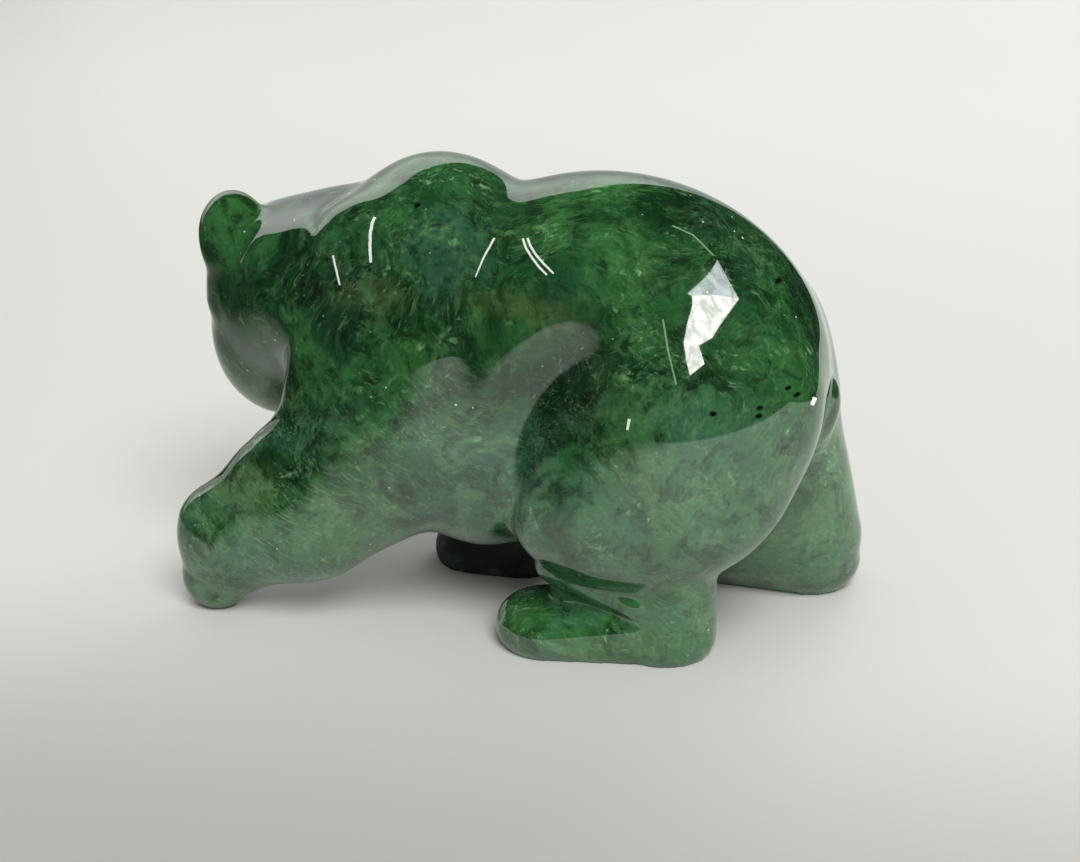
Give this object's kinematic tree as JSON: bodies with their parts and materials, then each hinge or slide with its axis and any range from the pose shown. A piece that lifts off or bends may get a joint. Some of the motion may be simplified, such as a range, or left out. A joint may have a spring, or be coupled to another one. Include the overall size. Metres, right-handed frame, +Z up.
{
  "type": "jade bear carving",
  "caption": "Small polished jade carving of a walking bear that looks over its right shoulder, cut from one stone and standing on its own feet.",
  "frame": {"origin": "on the floor under the middle of the bear's box, level with its soles", "axes": "+Z up, -X the way the bear walks, -Y its left side"},
  "size_m": [0.1, 0.0524, 0.0666],
  "materials": {
    "bear": "mirror polished deep green nephrite jade with paler and browner clouds"
  },
  "bodies": {
    "root": {"bear": "bear"}
  },
  "joints": []
}
